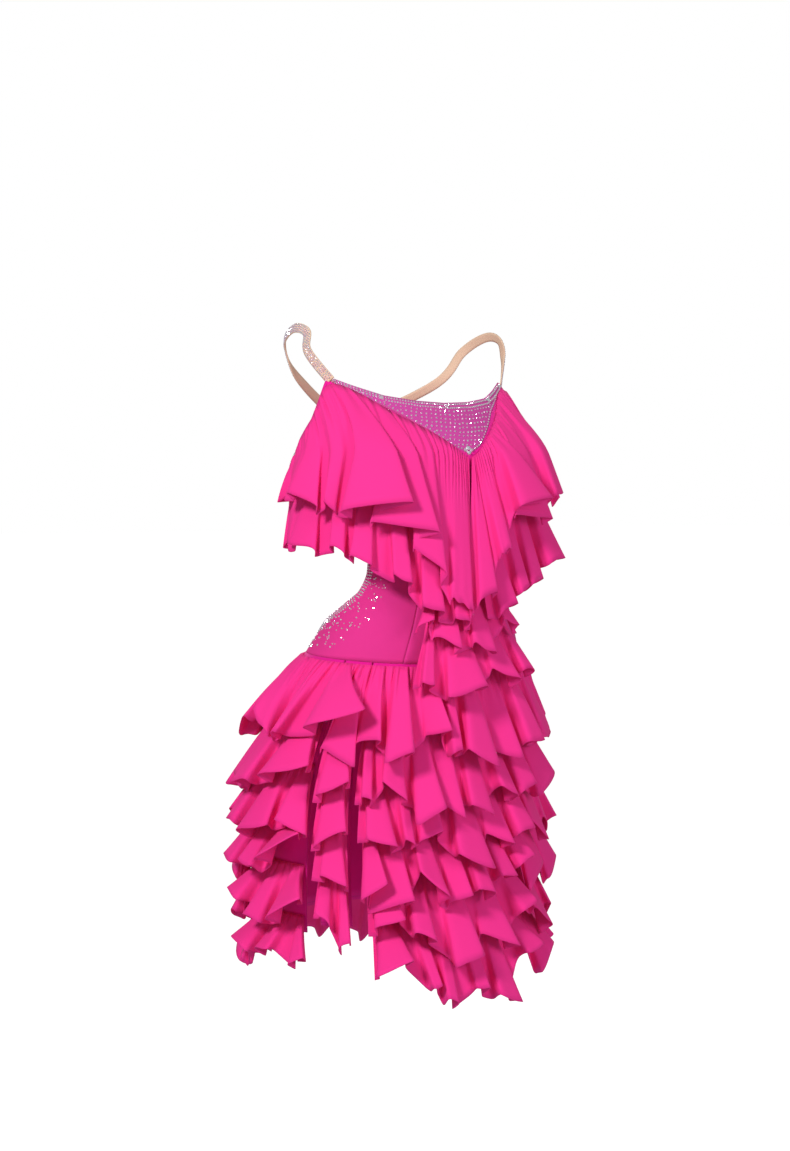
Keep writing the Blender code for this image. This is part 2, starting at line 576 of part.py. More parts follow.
def build_skirt_flounces():
    """Six rows; the first is a closed ring, the others stop at the openings."""
    first = TOP_ROW_START
    top_row = TOP_ROW + back_flutes(TOP_ROW[-1].right + FLUTE_GAP, first + 360, 0, 0.4)
    flounce("skirt_flounce_1", row_seam(0, first, first + 360), top_row, FLOUNCE_ROWS,
            ends=Ends(0.0, 0.0, VALLEY, VALLEY), closed=True)
    for row in range(1, ROW_COUNT):
        opening = slit_opening(YOKE_SEAM_SIDE - row * ROW_PITCH)
        start = SLIT_LEFT + opening + ROW_INSET
        end = 360 + SLIT_RIGHT - opening - ROW_INSET
        front = FRONT_OF_OPENING[row - 1]
        side = turned(LEFT_OF_OPENING[row - 1])
        behind = back_flutes(front[-1].right + FLUTE_GAP, side[0].left - FLUTE_GAP, row, row)
        flounce(f"skirt_flounce_{row + 1}", row_seam(row, start, end), front + behind + side,
                FLOUNCE_ROWS)


def build_slit_flounces():
    """Short flounces one below the other on the strip between the two openings."""
    for row, flutes in enumerate(SLIT_FLUTES):
        top = SLIT_FLOUNCE_TOP - ROW_PITCH * row
        seam = (Mark(SLIT_RIGHT + STRIP_INSET, top), Mark(SLIT_LEFT - STRIP_INSET, top))
        flounce(f"slit_flounce_{row + 1}", seam, flutes, FLOUNCE_ROWS)


# ---------------------------------------------------------------- main
for item in list(bpy.data.objects):
    bpy.data.objects.remove(item, do_unlink=True)
dress = bpy.data.collections.new("rumba_dance_dress")
bpy.context.scene.collection.children.link(dress)
build_panels()
build_straps()
build_bust_flounces()
build_cascade()
build_skirt_flounces()
build_slit_flounces()
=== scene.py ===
"""Rumba dance dress: the cloth, stones, straps and studio for the worn, hollow dress.

Frame: +X wearer's left, -Y front, +Z up, origin midway between the tops of the two straps.
Angles run round the body in degrees from the centre front, positive to the wearer's left.
Everything is in metres but the flute tables, whose heights and reaches are in millimetres.
"""
import math
import random
from collections import namedtuple

import bmesh
import bpy
import numpy as np
from bpy.props import FloatProperty, FloatVectorProperty, IntProperty, PointerProperty
from mathutils import Matrix, Vector


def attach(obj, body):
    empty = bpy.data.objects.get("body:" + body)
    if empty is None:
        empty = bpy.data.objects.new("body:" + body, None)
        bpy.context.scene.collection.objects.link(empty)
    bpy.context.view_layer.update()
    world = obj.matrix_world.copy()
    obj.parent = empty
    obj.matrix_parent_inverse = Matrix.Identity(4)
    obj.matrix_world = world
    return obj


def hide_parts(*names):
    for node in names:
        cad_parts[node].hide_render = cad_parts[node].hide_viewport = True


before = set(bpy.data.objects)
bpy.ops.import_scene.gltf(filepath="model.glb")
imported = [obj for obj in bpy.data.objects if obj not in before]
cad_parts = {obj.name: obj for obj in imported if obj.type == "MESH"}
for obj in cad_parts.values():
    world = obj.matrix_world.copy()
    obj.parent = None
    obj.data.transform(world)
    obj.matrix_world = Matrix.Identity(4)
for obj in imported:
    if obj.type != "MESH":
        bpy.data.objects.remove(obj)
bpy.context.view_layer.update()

BODY = "root"

bl_info = {
    "name": "Rumba Dance Dress",
    "version": (1, 0, 0),
    "blender": (4, 5, 0),
    "location": "View3D > Sidebar > Dress",
    "description": "Builds a flounced Latin dance dress with stones, straps and a studio",
    "category": "Add Mesh",
}

# ---------------------------------------------------------------- sizes of the cut
SEAM_GAP = 0.0001         # between two panels one above the other
SEWN_OUT = 0.0028         # a flounce's upper edge stands this far outside its panel
INSET_TUCK = 0.0004       # the inset reaches this far under the bodice's edge
YOKE_SEAM_SIDE = -0.399   # height of the skirt seam at the sides and the back
YOKE_SEAM_DIP = 0.014     # the seam is this much lower at the centre front
BODICE_HEM = -0.270
SKIRT_BASE_HEM = -0.742
STRIP_SHORTER = 0.010     # the strip between the two openings ends this much higher
ROW_COUNT = 6
ROW_PITCH = 0.0625        # from one skirt flounce's seam to the next
ROW_BELOW_YOKE = 0.003    # the first skirt flounce's seam below the yoke's seam

# Places and clearances round the body, in degrees.
METRES_PER_DEGREE = 0.0024   # about, near the waist and the hips
INSET_SIDE = 50.0         # the ends of the neckline, where the straps are sewn
UNDERARM = 105.0          # the bodice's free ends
PRINCESS_SEAM = -31.0
SIDE_SEAM = 105.0
SLIT_RIGHT = -64.0        # the two openings over the wearer's right thigh
SLIT_LEFT = -46.5
SLIT_SPREAD = 7.0         # how far an opening's outer edge has moved away at the hem
STRIP_MARGIN = 0.9        # the strip stops this far inside the openings
PANEL_GAP = 0.05          # between two panels side by side
ROW_INSET = 1.5           # a skirt flounce stops this far from an opening
STRIP_INSET = 2.5         # and a flounce on the strip this far inside the openings
FLUTE_GAP = 1.0           # between the flutes of the front and those of the back

SLIT_TOP = -0.470         # the openings start to spread here
SLIT_DEPTH = 0.270        # and reach their full spread this much lower
SLIT_FLOUNCE_TOP = -0.472 # seam of the first flounce on the strip between them
STRAP_WIDTH = 0.012
STRAP_THICKNESS = 0.0016
STRAP_OUT = 0.0022        # middle of a strap outside the figure
STRAP_CROSSING_LIFT = 0.006   # the left strap passes this far outside the right one
SHOULDER_ROLL = 0.05      # a strap faces away from a point this far below its middle

Section = namedtuple("Section", "z half_width half_depth forward")
FIGURE = (
    Section(0.000, 0.185, 0.050, 0.000),
    Section(-0.058, 0.175, 0.067, -0.002),
    Section(-0.087, 0.168, 0.088, 0.008),
    Section(-0.154, 0.160, 0.123, 0.027),
    Section(-0.200, 0.148, 0.110, 0.031),
    Section(-0.260, 0.126, 0.093, 0.045),
    Section(-0.318, 0.112, 0.080, 0.058),
    Section(-0.360, 0.130, 0.089, 0.051),
    Section(-0.415, 0.156, 0.103, 0.033),
    Section(-0.500, 0.172, 0.120, 0.011),
    Section(-0.900, 0.172, 0.120, 0.011),
)
BUST_Z = -0.154           # cloth that hangs from the bust keeps this section below it

Mark = namedtuple("Mark", "angle z")
# A flute at its hem: angle, height and reach of its left corner and of its right corner.
Flute = namedtuple("Flute", "left left_z left_out right right_z right_out")


def flute_table(*rows):
    """Flutes from rows whose heights and reaches are in millimetres."""
    return tuple(Flute(left, left_z / 1000, left_out / 1000, right, right_z / 1000,
                       right_out / 1000)
                 for left, left_z, left_out, right, right_z, right_out in rows)


def path(*rows):
    """Marks that run towards the wearer's left."""
    return tuple(Mark(*row) for row in rows)


def mirrored(marks):
    """The same path on the body's other side, still running towards the left."""
    return tuple(Mark(-mark.angle, mark.z) for mark in reversed(marks))


def both_sides(*rows):
    """A path that is alike on both sides, from its rows at and left of the centre front."""
    return mirrored(path(*rows)) + path(*rows[1:])


# The two free ends of a flounce at its hem: degrees beyond the seam's ends, and reach.
Ends = namedtuple("Ends", "start end start_out end_out")
TUCKED = 0.009            # a corner this close to the valleys is tucked behind its neighbour
NECK = 0.17               # the cloth behind a flute starts this share of its width inwards
NECK_OVERLAP = 0.8        # and further in where its neighbour reaches behind it
NECK_DEPTH = 0.108        # the cloth behind a flute hangs at most this far below the seam
NECK_DROP = 0.010         # and hangs this much lower than its corners
CORNER_SHARES = (0.08, 0.34, 0.66, 0.92)   # a flute's four folds along its part of the seam
RIDGE_POWER = 1.5         # flutes open slowly near the seam and faster towards the hem
BUST_POWER = 1.2
TOP_ROW_POWER = 1.05
VALLEY = 0.028            # reach of the cloth between two flutes of the skirt
BUST_UPPER_VALLEY = 0.034
BUST_LOWER_VALLEY = 0.020
CASCADE_VALLEY = 0.027
BUST_DEPTH = 0.25         # deeper than any bust flounce, so that no neck is cut short
CASCADE_DEPTH = 0.100
TOP_ROW_GATHER = 1.9      # the first skirt row is gathered this much more than the others

# The skirt flutes of the left side and the back.
BACK_FLUTES = 12          # in each row
BACK_HANG = 0.098         # their hem below the row's seam
BACK_REACH = 0.048
BACK_REACH_WANDER = 0.007
BACK_HEM_WANDER = 0.016   # half the height between a flute's two corners
BACK_CORNER = 0.08        # a corner's share of the way into its flute's width
BACK_CORNER_WANDER = 0.06
BOTTOM_RISE = 0.030       # the last row's hem is this much shorter than the pitch gives
HIP_DIP = 0.014           # the flutes reach this much less over the hips

# The studio.
FLOOR_Z = -1.42
FLOOR_SIZE = 60.0
LENS = 78.1
CAMERA_PLACE = (-1.918, -2.545, -0.20)
CAMERA_TARGET = (0.008, 0.011, -0.3084)
LAMP_TARGET = (0.0, 0.0, -0.4)
Lamp = namedtuple("Lamp", "name place size power")
LAMPS = (
    Lamp("key", (-2.8, -1.3, 1.3), 0.7, 86.0),
    Lamp("fill", (0.4, -3.0, 0.4), 1.4, 29.0),
    Lamp("rim", (1.6, 2.2, 1.4), 1.2, 34.0),
)
AIR_LIGHT = 0.30          # strength of the pale air on the cloth; the camera sees it at full


# ---------------------------------------------------------------- the general figure
def fine_figure():
    """The figure's sections every millimetre, smooth between the rows of the table."""
    heights = np.array([-row.z for row in FIGURE])
    fine = np.linspace(heights[0], heights[-1], 901)
    index = np.clip(np.searchsorted(heights, fine, side="right") - 1, 0, len(heights) - 2)
    span = heights[index + 1] - heights[index]
    t = (fine - heights[index]) / span
    columns = []
    for column in (1, 2, 3):
        values = np.array([row[column] for row in FIGURE])
        slope = np.gradient(values, heights)
        value = (2 * t**3 - 3 * t**2 + 1) * values[index]
        value += (3 * t**2 - 2 * t**3) * values[index + 1]
        value += (t**3 - 2 * t**2 + t) * span * slope[index]
        value += (t**3 - t**2) * span * slope[index + 1]
        columns.append(value)
    return fine, columns


FINE_DEPTH, FINE_SECTIONS = fine_figure()


def figure_points(angle, z, out=0.0, hang_from=None):
    """Points at angles and heights, moved out along the section's normal: (..., 3)."""
    angle, z, out = np.broadcast_arrays(angle, z, out)
    depth = -z if hang_from is None else -np.maximum(z, hang_from)
    half_width, half_depth, forward = (np.interp(depth, FINE_DEPTH, column)
                                       for column in FINE_SECTIONS)
    sine = np.sin(np.radians(angle))
    cosine = np.cos(np.radians(angle))
    across = sine / half_width
    along_y = -cosine / half_depth
    length = np.hypot(across, along_y)
    x = half_width * sine + out * across / length
    y = -forward - half_depth * cosine + out * along_y / length
    return np.stack([x, y, z + 0.0 * out], axis=-1)


def figure_point(angle, z, out=0.0, hang_from=None):
    return Vector(figure_points(angle, z, out, hang_from))


def spline(a, b, c, d, t):
    """Between b and c at t, smooth through a, b, c and d."""
    return b + 0.5 * t * (c - a + t * (2 * a - 5 * b + 4 * c - d + t * (3 * (b - c) + d - a)))


def along(marks, share):
    """Angles and heights at shares of a path, with rows evenly spaced along it."""
    rows = np.array(marks, dtype=float)
    place = np.clip(share, 0.0, 1.0) * (len(rows) - 1)
    index = np.minimum(place.astype(int), len(rows) - 2)
    t = (place - index)[..., None]
    value = spline(rows[np.maximum(index - 1, 0)], rows[index], rows[index + 1],
                   rows[np.minimum(index + 2, len(rows) - 1)], t)
    return value[..., 0], value[..., 1]


def height_at(marks, angle):
    return np.interp(angle, [mark.angle for mark in marks], [mark.z for mark in marks])


def edge(marks, out=0.0):
    """The height of a path, moved up by out, as a function of the angle."""
    return lambda angle: height_at(marks, angle) + out


def level_edge(z):
    return lambda angle: z + 0 * angle


def yoke_edge(out):
    return lambda angle: yoke_seam(angle) + out


def yoke_seam(angle):
    front = 0.5 + 0.5 * np.cos(np.radians(angle))
    return YOKE_SEAM_SIDE - YOKE_SEAM_DIP * front**2


def slit_opening(z):
    """How far, in degrees, a slit's outer edge has opened at a height."""
    return SLIT_SPREAD * np.clip((SLIT_TOP - z) / SLIT_DEPTH, 0.0, 1.0)


# ---------------------------------------------------------------- shader maths
class Socket:
    """A node socket that takes part in Python expressions."""

    def __init__(self, tree, output):
        self.tree = tree
        self.output = output

    def maths(self, operation, *values):
        return node(self.tree, "ShaderNodeMath", {"operation": operation}, *values)

    def __add__(self, other):
        return self.maths("ADD", self, other)

    def __sub__(self, other):
        return self.maths("SUBTRACT", self, other)

    def __rsub__(self, other):
        return self.maths("SUBTRACT", other, self)

    def __mul__(self, other):
        return self.maths("MULTIPLY", self, other)

    def smooth(self, low, high):
        """0 below low, 1 above high, with a soft step between."""
        settings = {"interpolation_type": "SMOOTHSTEP"}
        return node(self.tree, "ShaderNodeMapRange", settings, self, low, high, 0.0, 1.0)


def node(tree, kind, settings=None, *values, output=0, **named):
    """Add a node, set its settings, then its sockets by order or name; return an output."""
    made = tree.nodes.new(kind)
    for name, value in (settings or {}).items():
        setattr(made, name, value)
    pairs = list(zip(made.inputs, values)) + [(made.inputs[name], value)
                                              for name, value in named.items()]
    for socket, value in pairs:
        if isinstance(value, Socket):
            tree.links.new(value.output, socket)
        else:
            socket.default_value = value
    return Socket(tree, made.outputs[output])


def new_material(name):
    material = bpy.data.materials.new(name)
    material.use_nodes = True
    shader = material.node_tree.nodes["Principled BSDF"]
    return material, material.node_tree, shader


def feed(tree, socket, shader, name):
    tree.links.new(socket.output, shader.inputs[name])


def mix_colours(tree, factor, first, second):
    made = tree.nodes.new("ShaderNodeMix")
    made.data_type = "RGBA"
    for index, value in ((0, factor), (6, first), (7, second)):
        if isinstance(value, Socket):
            tree.links.new(value.output, made.inputs[index])
        else:
            made.inputs[index].default_value = value
    return Socket(tree, made.outputs[2])


def shade_of(colour, factor):
    return tuple(channel * factor for channel in colour[:3]) + (1.0,)


def crepe_material(name, colour, roughness=0.62, sheen=0.20, stitched=False):
    """Matt stretch crepe: a fine broken grain, soft bloom and faint unevenness of the dye."""
    material, tree, shader = new_material(name)
    place = node(tree, "ShaderNodeUVMap", {"uv_map": "cloth"})
    broad = node(tree, "ShaderNodeTexNoise", None, Vector=place, Scale=14.0, Detail=2.0)
    grain = node(tree, "ShaderNodeTexNoise", None, Vector=place, Scale=1400.0, Detail=2.0,
                 Roughness=0.7)
    warp = node(tree, "ShaderNodeTexWave", {"bands_direction": "X"}, Vector=place, Scale=420.0,
                Distortion=3.0)
    weft = node(tree, "ShaderNodeTexWave", {"bands_direction": "Y"}, Vector=place, Scale=420.0,
                Distortion=3.0)
    weave = warp * 0.5 + weft * 0.5
    colour_mix = mix_colours(tree, broad.smooth(0.3, 0.7), shade_of(colour, 0.93),
                             shade_of(colour, 1.04))
    colour_mix = mix_colours(tree, grain.smooth(0.35, 0.75) * 0.35, colour_mix,
                             shade_of(colour, 0.80))
    height = grain * 0.6 + weave * 0.4
    if stitched:
        edges = node(tree, "ShaderNodeUVMap", {"uv_map": "edges"})
        from_edge = node(tree, "ShaderNodeSeparateXYZ", None, edges, output=1)
        run = node(tree, "ShaderNodeSeparateXYZ", None, place)
        line = from_edge.smooth(0.0034, 0.0038) * (1.0 - from_edge.smooth(0.0042, 0.0046))
        dashes = node(tree, "ShaderNodeMath", {"operation": "FRACT"}, run * 330.0)
        stitches = line * dashes.smooth(0.15, 0.3)
        colour_mix = mix_colours(tree, stitches * 0.55, colour_mix, shade_of(colour, 0.5))
        height = height - stitches * 2.0
    feed(tree, colour_mix, shader, "Base Color")
    feed(tree, broad * 0.1 + (roughness - 0.05), shader, "Roughness")
    bump = node(tree, "ShaderNodeBump", None, Strength=0.22, Distance=0.00035, Height=height)
    feed(tree, bump, shader, "Normal")
    shader.inputs["Sheen Weight"].default_value = sheen
    shader.inputs["Sheen Roughness"].default_value = 0.45
    shader.inputs["Sheen Tint"].default_value = (1.0, 0.55, 0.8, 1.0)
    shader.inputs["Specular IOR Level"].default_value = 0.15
    return material


def elastic_material(name, colour):
    """Nude ribbed elastic, its ribs running across the strap."""
    material, tree, shader = new_material(name)
    place = node(tree, "ShaderNodeUVMap", {"uv_map": "cloth"})
    ribs = node(tree, "ShaderNodeTexWave", {"bands_direction": "X"}, Vector=place, Scale=300.0)
    grain = node(tree, "ShaderNodeTexNoise", None, Vector=place, Scale=900.0, Detail=2.0)
    tint = mix_colours(tree, ribs * 0.5 + grain * 0.2, shade_of(colour, 0.78), colour)
    feed(tree, tint, shader, "Base Color")
    feed(tree, grain * 0.15 + 0.45, shader, "Roughness")
    bump = node(tree, "ShaderNodeBump", None, Strength=0.5, Distance=0.0004, Height=ribs)
    feed(tree, bump, shader, "Normal")
    shader.inputs["Sheen Weight"].default_value = 0.2
    return material


def stone_material(name, pale, blush):
    """Clear foil-backed stones whose facets flash white, with a shifting pink and blue bloom."""
    material, tree, shader = new_material(name)
    tint = node(tree, "ShaderNodeAttribute", {"attribute_name": "tint"}, output=2)
    colour = mix_colours(tree, tint, pale, blush)
    feed(tree, colour, shader, "Base Color")
    feed(tree, tint * 0.1 + 0.08, shader, "Roughness")
    shader.inputs["Metallic"].default_value = 0.75
    shader.inputs["Coat Weight"].default_value = 0.6
    shader.inputs["Coat Roughness"].default_value = 0.04
    return material


# ---------------------------------------------------------------- cloth
def placed_mesh(name, sheet, material):
    """An object in the scene from a finished bmesh, which is freed."""
    mesh = bpy.data.meshes.new(name)
    sheet.to_mesh(mesh)
    sheet.free()
    mesh.materials.append(material)
    piece = bpy.data.objects.new(name, mesh)
    bpy.context.scene.collection.objects.link(piece)
    return piece


def cloth_grid(name, points, metres, edges, material, thickness, closed=False):
    """A grid of cloth through points[column, row], thickened, with its cloth and edge maps."""
    columns = points.shape[0] - 1
    rows = points.shape[1] - 1
    sheet = bmesh.new()
    bmesh.ops.create_grid(sheet, x_segments=columns, y_segments=rows, size=0.5)
    cloth_map = sheet.loops.layers.uv.new("cloth")
    edge_map = sheet.loops.layers.uv.new("edges")
    for face in sheet.faces:
        face.smooth = True
        for loop in face.loops:
            column = round((loop.vert.co.x + 0.5) * columns)
            row = round((loop.vert.co.y + 0.5) * rows)
            loop[cloth_map].uv = metres[column, row]
            loop[edge_map].uv = edges[column, row]
    for vertex in sheet.verts:
        column = round((vertex.co.x + 0.5) * columns)
        row = round((vertex.co.y + 0.5) * rows)
        vertex.co = points[column, row]
    if closed:
        bmesh.ops.remove_doubles(sheet, verts=sheet.verts, dist=0.00001)
    piece = placed_mesh(name, sheet, material)
    wall = piece.modifiers.new("wall", "SOLIDIFY")
    wall.thickness = thickness
    wall.offset = 0.0
    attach(piece, BODY)
    return piece


def measured_maps(points):
    """Distances along the cloth in metres, and distances from its nearest edges."""
    across = np.linalg.norm(np.diff(points, axis=0), axis=2)
    down = np.linalg.norm(np.diff(points, axis=1), axis=2)
    u = np.concatenate([np.zeros((1, points.shape[1])), np.cumsum(across, axis=0)])
    v = np.concatenate([np.zeros((points.shape[0], 1)), np.cumsum(down, axis=1)], axis=1)
    mean_u = np.repeat(u.mean(axis=1, keepdims=True), points.shape[1], axis=1)
    metres = np.stack([mean_u, v], axis=-1)
    side = np.minimum(u, u[-1:] - u)
    level = np.minimum(v, v[:, -1:] - v)
    return metres, np.stack([side, level], axis=-1)


Crease = namedtuple("Crease", "angle z end_angle end_z width depth")


def creased(angle, z, creases):
    """How far soft troughs, tapering at both ends, pull the cloth in at angles and heights."""
    x = angle * METRES_PER_DEGREE
    pull = np.zeros_like(x)
    for crease in creases:
        start = np.array([crease.angle * METRES_PER_DEGREE, crease.z])
        run = np.array([crease.end_angle * METRES_PER_DEGREE, crease.end_z]) - start
        length = np.hypot(*run)
        share = ((x - start[0]) * run[0] + (z - start[1]) * run[1]) / length**2
        offset = ((x - start[0]) * run[1] - (z - start[1]) * run[0]) / length
        taper = np.clip(share * 3.0, 0, 1) * np.clip((1.0 - share) * 3.0, 0, 1)
        pull += crease.depth * taper * np.exp(-(offset / crease.width) ** 2)
    return pull


def fitted_panel(name, angles, top, bottom, size, maker, left=None, right=None, creases=()):
    """A panel on the figure between two edges; left and right shift its sides by height."""
    share = np.linspace(0.0, 1.0, size[0] + 1)[:, None]
    drop = np.linspace(0.0, 1.0, size[1] + 1)[None, :]
    angle = angles[0] + share * (angles[1] - angles[0])
    high = top(angle)
    low = bottom(angle)
    z = high + drop * (low - high)
    angle = angle + 0.0 * drop
    if left is not None:
        angle = angle + (1 - share) * left(z)
    if right is not None:
        angle = angle + share * right(z)
    points = figure_points(angle, z, -creased(angle, z, creases))
    metres, edges = measured_maps(points)
    piece = cloth_grid(f"cloth_{name}", points, metres, edges, maker(),
                       settings().thickness)
    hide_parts(name)
    return piece


def rounded(columns, passes):
    """Columns of cloth with their corners cut round, the flat stretches kept."""
    halfway = 0.5 * (columns[:-1] + columns[1:])
    fuller = np.empty((len(columns) + len(halfway), columns.shape[1]))
    fuller[0::2] = columns
    fuller[1::2] = halfway
    for _ in range(passes):
        first = 0.75 * fuller[:-1] + 0.25 * fuller[1:]
        second = 0.25 * fuller[:-1] + 0.75 * fuller[1:]
        cut = np.empty((2 * len(first), fuller.shape[1]))
        cut[0::2] = first
        cut[1::2] = second
        fuller = np.concatenate([fuller[:1], cut, fuller[-1:]])
    return fuller


def seam_cells(seam, flutes):
    """The shares of a seam where each flute's cloth begins and ends."""
    angles = [mark.angle for mark in seam]
    middles = [0.5 * (flute.left + flute.right) for flute in flutes]
    bounds = [0.5 * (one + two) for one, two in zip(middles, middles[1:])]
    shares = np.interp(bounds, angles, np.linspace(0.0, 1.0, len(angles)))
    return [0.0, *shares, 1.0]


def flute_columns(seam, flutes, valley, ends, neck_depth, closed, passes):
    """For each column: share at the seam, hem angle, hem height and reach."""
    cells = seam_cells(seam, flutes)
    columns = [(0.0, seam[0].angle + ends.start, flutes[0].left_z - NECK_DROP, ends.start_out)]
    for index, flute in enumerate(flutes):
        width = flute.right - flute.left
        before = flutes[index - 1].right if index else flute.left
        after = flutes[index + 1].left if index + 1 < len(flutes) else flute.right
        inwards_left = max(NECK * width, NECK_OVERLAP * (before - flute.left))
        inwards_right = max(NECK * width, NECK_OVERLAP * (flute.right - after))
        if flute.left_out < valley + TUCKED:
            inwards_left = 0.0
        if flute.right_out < valley + TUCKED:
            inwards_right = 0.0
        cell = cells[index + 1] - cells[index]
        lowest = float(along(seam, np.array(cells[index] + 0.5 * cell))[1]) - neck_depth
        corners = (
            (flute.left + inwards_left, max(flute.left_z - NECK_DROP, lowest), valley),
            (flute.left, flute.left_z, flute.left_out),
            (flute.right, flute.right_z, flute.right_out),
            (flute.right - inwards_right, max(flute.right_z - NECK_DROP, lowest), valley),
        )
        for share, corner in zip(CORNER_SHARES, corners):
            columns.append((cells[index] + cell * share, *corner))
    end_z = flutes[0].left_z if closed else flutes[-1].right_z
    columns.append((1.0, seam[-1].angle + ends.end, end_z - NECK_DROP, ends.end_out))
    return rounded(np.array(columns), passes)


def flounce(name, seam, flutes, rows, valley=VALLEY, ends=Ends(-1.0, 1.0, VALLEY, VALLEY),
            neck_depth=NECK_DEPTH, closed=False, hang_from=None, seed=0.0, passes=2,
            power=RIDGE_POWER, gather=1.0):
    """A flounce from its seam to its hem, in cone-like flutes that grow from the gathers."""
    columns = flute_columns(seam, flutes, valley, ends, neck_depth, closed, passes)
    fall = np.linspace(0.0, 1.0, rows + 1)[None, :]
    at_seam, hem_angle, hem_z, reach = (columns[:, index][:, None] for index in range(4))
    seam_angle, seam_z = along(seam, at_seam)
    angle = seam_angle + fall * (hem_angle - seam_angle)
    phase = at_seam * 2 * math.pi * len(flutes)
    gathers = 0.0011 * np.sin(4.1 * phase + seed) + 0.0007 * np.sin(6.7 * phase + 2 * seed)
    gathers = gather * gathers * np.exp(-((fall - 0.12) / (0.10 + 0.06 * gather)) ** 2)
    wander = 0.0016 * np.sin(2.3 * phase + 2.1 * seed) * fall**3
    z = seam_z + fall * (hem_z - seam_z) + wander
    beyond = reach - valley
    belly = 0.10 * beyond * np.sin(math.pi * fall)
    out = SEWN_OUT + fall * valley + fall**power * beyond + gathers + belly
    points = figure_points(angle, z, out, hang_from)
    metres, edges = measured_maps(points)
    piece = cloth_grid(f"cloth_{name}", points, metres, edges, pink_crepe(),
                       settings().thickness, closed)
    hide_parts(name)
    return piece


def hip_share(angle):
    """1 over the left hip and 0.8 behind the right one, falling off to both sides."""
    left_hip = math.exp(-((angle - 52.0) / 26.0) ** 2)
    right_hip = math.exp(-((angle - 238.0) / 14.0) ** 2)
    return left_hip + 0.8 * right_hip


def back_flutes(start, end, row, seed):
    """Uneven flutes of one skirt row between two angles, the same each run."""
    flutes = []
    width = (end - start) / BACK_FLUTES
    for index in range(BACK_FLUTES):
        wave = math.sin(2.4 * index + 1.7 * seed)
        other = math.sin(3.9 * index + 2.3 * seed + 1.0)
        third = math.sin(5.3 * index + 3.1 * seed + 2.0)
        left = start + width * (index + BACK_CORNER + BACK_CORNER_WANDER * wave)
        right = start + width * (index + 1.0 - BACK_CORNER + BACK_CORNER_WANDER * other)
        rise = BOTTOM_RISE * (row / (ROW_COUNT - 1)) ** 2
        hem = float(yoke_seam(left)) - BACK_HANG - row * ROW_PITCH + rise
        reach = BACK_REACH - HIP_DIP * hip_share(left) + BACK_REACH_WANDER * wave
        flutes.append(Flute(left, hem + BACK_HEM_WANDER * third, reach * (1 + 0.1 * other),
                            right, hem - BACK_HEM_WANDER * third, reach * (1 - 0.1 * other)))
    return tuple(flutes)


# ---------------------------------------------------------------- edges of the fitted panels
NECKLINE = both_sides((0, -0.091), (14, -0.089), (28, -0.083), (40, -0.071), (50, -0.060))
INSET_EDGE = both_sides((0, -0.155), (7, -0.146), (15, -0.128), (27, -0.102), (50, -0.066))
BODICE_TOP = both_sides((0, -0.155), (7, -0.146), (15, -0.128), (27, -0.102), (50, -0.066),
                        (51, -0.060), (62, -0.082), (76, -0.112), (92, -0.138), (105, -0.163))
BODICE_BOTTOM = path((-105, -0.215), (-88, -0.245), (-72, -0.267), (-58, -0.270), (105, -0.270))
CUT_OUT = path((-180, -0.383), (-140, -0.376), (-116, -0.364), (-95, -0.344), (-80, -0.325),
               (-71, -0.302), (-66, -0.284), (-58, -0.2715), (-31, -0.2715))
LEFT_SCOOP = path((105, -0.2715), (118, -0.325), (140, -0.367), (160, -0.379), (180, -0.383))
YOKE_CREASES = (
    Crease(-88, -0.345, -52, -0.322, 0.0040, 0.0007),
    Crease(-96, -0.372, -60, -0.352, 0.0050, 0.0006),
    Crease(-60, -0.388, -38, -0.360, 0.0040, 0.0006),
    Crease(-150, -0.392, -118, -0.380, 0.0050, 0.0006),
)

# ---------------------------------------------------------------- bust and cascade tables
BUST_UPPER_SEAM = path((-105, -0.166), (-78, -0.118), (-51, -0.069), (-27, -0.108),
                       (-12, -0.136), (-5, -0.152), (-1, -0.159))
BUST_LOWER_SEAM = path((-104, -0.198), (-78, -0.182), (-52, -0.172), (-28, -0.196), (-2, -0.246))
CASCADE_UPPER_SEAM = path((-24, -0.300), (-2, -0.296), (22, -0.300))
CASCADE_LOWER_SEAM = path((-24, -0.356), (4, -0.354), (32, -0.356))
TOP_ROW = flute_table(
    (-97, -465, 50, -83, -495, 50), (-81.8, -494, 50, -79.3, -490, 50),
    (-67.8, -484, 64, -44.5, -457, 66), (-61.5, -508, 31, -46.5, -536, 44),
    (-47.8, -504, 31, -38.6, -498, 50), (-37.6, -525, 60, -27.2, -513, 62),
    (-21.2, -495, 31, -13.4, -489, 54), (-12.2, -519, 48, -8.2, -514, 48),
    (-7, -513, 52, 6.2, -541, 58), (9, -523, 31, 19, -531, 54),
    (20.5, -512, 54, 31, -510, 56),
)
LEFT_OF_OPENING = (
    flute_table(
        (-101, -558, 53, -88.5, -552, 55), (-85, -546, 52, -63, -530, 50),
    ), flute_table(
        (-108, -606, 48, -98, -608, 50), (-95.2, -618, 52, -77.5, -604, 51),
        (-75.5, -598, 50, -62, -612, 51),
    ), flute_table(
        (-110, -653, 50, -99.2, -657, 52), (-94, -652, 50, -86, -658, 50),
        (-83.5, -647, 56, -64, -612, 58),
    ), flute_table(
        (-106, -693, 50, -95.2, -701, 53), (-92, -719, 52, -82, -723, 52),
        (-79.8, -718, 54, -64, -691, 58),
    ), flute_table(
        (-106.5, -751, 50, -91, -762, 54), (-89, -761, 44, -80, -755, 50),
        (-72.5, -772, 46, -65.5, -764, 46),
    ),
)
